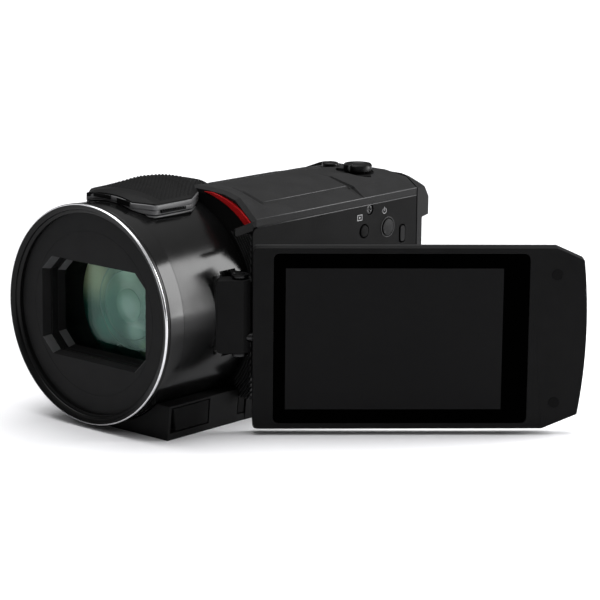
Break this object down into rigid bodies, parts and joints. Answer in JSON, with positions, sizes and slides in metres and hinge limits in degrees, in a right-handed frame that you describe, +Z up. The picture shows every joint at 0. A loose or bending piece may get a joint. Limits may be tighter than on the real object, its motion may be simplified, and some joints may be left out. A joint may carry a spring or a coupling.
{
  "type": "camcorder",
  "caption": "Palm-held camcorder with a round lens barrel, side screen swung out on a hinge and turned to face forward, hand strap and rear battery.",
  "frame": {"origin": "middle of the flat underside, on the plane of the lens axis, 72 mm behind the front of the lens ring", "axes": "-Y is where the lens looks, +X is the side with the folding screen, +Z is up"},
  "size_m": [0.1649, 0.1305, 0.0729],
  "materials": {
    "gloss_black": "high-gloss moulded black",
    "matte_black": "satin moulded black",
    "grained_grey": "fine leather-grain dark grey",
    "soft_black": "flat black",
    "rubber_black": "soft rubber",
    "strap_fabric": "woven nylon",
    "red_accent": "gloss red",
    "steel": "brushed",
    "bright_ring": "polished edge",
    "brass": "turned",
    "lens_glass": "coated",
    "screen_glass": "touch panel",
    "circuit_board": "solder mask",
    "sensor": "polished silicon"
  },
  "bodies": {
    "housing": {"front_bezel": "bright_ring", "lens_barrel": "gloss_black", "lens_face_plate": "matte_black", "light_baffle": "matte_black", "lens_tube": "soft_black", "front_lens": "lens_glass", "second_lens": "lens_glass", "rear_lens": "lens_glass", "sensor_frame": "steel", "image_sensor": "sensor", "sensor_board": "circuit_board", "front_frame": "matte_black", "red_accent": "red_accent", "top_cover": "grained_grey", "left_side_cover": "matte_black", "right_side_cover": "grained_grey", "rear_cover": "matte_black", "base_cover": "matte_black", "tripod_socket": "brass", "mic_pod_base": "matte_black", "mic_pod_cap": "grained_grey", "mic_left": "steel", "mic_right": "steel", "hdmi_socket": "steel", "usb_socket": "steel", "remote_jack": "soft_black", "headphone_jack": "soft_black", "battery_contacts": "brass", "main_board": "circuit_board", "switch_board": "circuit_board", "speaker": "soft_black", "zoom_motor": "steel", "lcd_swing_pin": "steel", "hinge_lug_upper": "steel", "hinge_lug_lower": "steel", "hand_strap": "strap_fabric", "strap_anchor_front": "steel", "strap_anchor_rear": "steel"},
    "control_ring": {"control_ring": "gloss_black"},
    "zoom_group": {"zoom_lens_holder": "soft_black", "zoom_lens": "lens_glass"},
    "focus_group": {"focus_lens_holder": "soft_black", "focus_lens": "lens_glass"},
    "power_button": {"power_button": "matte_black"},
    "mode_button": {"mode_button": "matte_black"},
    "pill_button": {"pill_button": "matte_black"},
    "zoom_lever": {"zoom_lever": "matte_black"},
    "photo_button": {"photo_button": "matte_black"},
    "record_button": {"record_button": "soft_black"},
    "terminal_door": {"terminal_door": "matte_black"},
    "jack_cover_front": {"jack_cover_front": "rubber_black"},
    "jack_cover_rear": {"jack_cover_rear": "rubber_black"},
    "battery": {"battery": "grained_grey"},
    "battery_latch": {"battery_latch": "soft_black"},
    "lcd_hinge": {"lcd_hinge_block": "matte_black", "lcd_tilt_shaft": "steel"},
    "lcd_panel": {"lcd_front_bezel": "matte_black", "lcd_rear_cover": "matte_black", "lcd_glass": "screen_glass", "lcd_display": "sensor"}
  },
  "joints": [
    {"name": "lcd_swing", "type": "hinge", "parent": "housing", "child": "lcd_hinge", "pos_m": [0.035, -0.0428, 0.036], "axis": [0, 0, -1], "range_deg": [-46.2, 43.8]},
    {"name": "lcd_tilt", "type": "hinge", "parent": "lcd_hinge", "child": "lcd_panel", "pos_m": [0.03611, -0.04396, 0.0295], "axis": [-0.7218, -0.6921, 0], "range_deg": [0, 11]},
    {"name": "control_ring_turn", "type": "hinge", "parent": "housing", "child": "control_ring", "pos_m": [0, -0.067, 0.035], "axis": [0, -1, 0], "continuous": true},
    {"name": "zoom_group_travel", "type": "slide", "parent": "housing", "child": "zoom_group", "axis": [0, 1, 0], "range_m": [-0.006, 0.006]},
    {"name": "focus_group_travel", "type": "slide", "parent": "housing", "child": "focus_group", "axis": [0, 1, 0], "range_m": [-0.003, 0.003]},
    {"name": "zoom_lever_twist", "type": "hinge", "parent": "housing", "child": "zoom_lever", "pos_m": [0.0175, 0.0315, 0.069], "axis": [0, 0, 1], "range_deg": [-14, 14], "stiffness_Nm_per_rad": 0.03},
    {"name": "photo_button_press", "type": "slide", "parent": "housing", "child": "photo_button", "axis": [0, 0, -1], "range_m": [0, 0.0012], "stiffness_N_per_m": 400},
    {"name": "record_button_press", "type": "slide", "parent": "housing", "child": "record_button", "axis": [0, -1, 0], "range_m": [0, 0.001], "stiffness_N_per_m": 400},
    {"name": "power_button_press", "type": "slide", "parent": "housing", "child": "power_button", "axis": [-1, 0, 0], "range_m": [0, 0.0007], "stiffness_N_per_m": 400},
    {"name": "mode_button_press", "type": "slide", "parent": "housing", "child": "mode_button", "axis": [-1, 0, 0], "range_m": [0, 0.0007], "stiffness_N_per_m": 400},
    {"name": "pill_button_press", "type": "slide", "parent": "housing", "child": "pill_button", "axis": [-1, 0, 0], "range_m": [0, 0.0007], "stiffness_N_per_m": 400},
    {"name": "terminal_door_open", "type": "hinge", "parent": "housing", "child": "terminal_door", "pos_m": [0.032, 0.005, 0.022], "axis": [0, 1, 0], "range_deg": [0, 95]},
    {"name": "jack_cover_front_open", "type": "hinge", "parent": "housing", "child": "jack_cover_front", "pos_m": [0.0272, -0.0626, 0.0057], "axis": [0, 0, -1], "range_deg": [0, 100]},
    {"name": "jack_cover_rear_open", "type": "hinge", "parent": "housing", "child": "jack_cover_rear", "pos_m": [0.0272, -0.0272, 0.0057], "axis": [0, 0, -1], "range_deg": [0, 100]},
    {"name": "battery_pull", "type": "slide", "parent": "housing", "child": "battery", "axis": [0, 1, 0], "range_m": [0, 0.035]},
    {"name": "battery_latch_slide", "type": "slide", "parent": "housing", "child": "battery_latch", "axis": [1, 0, 0], "range_m": [0, 0.003], "stiffness_N_per_m": 300}
  ]
}
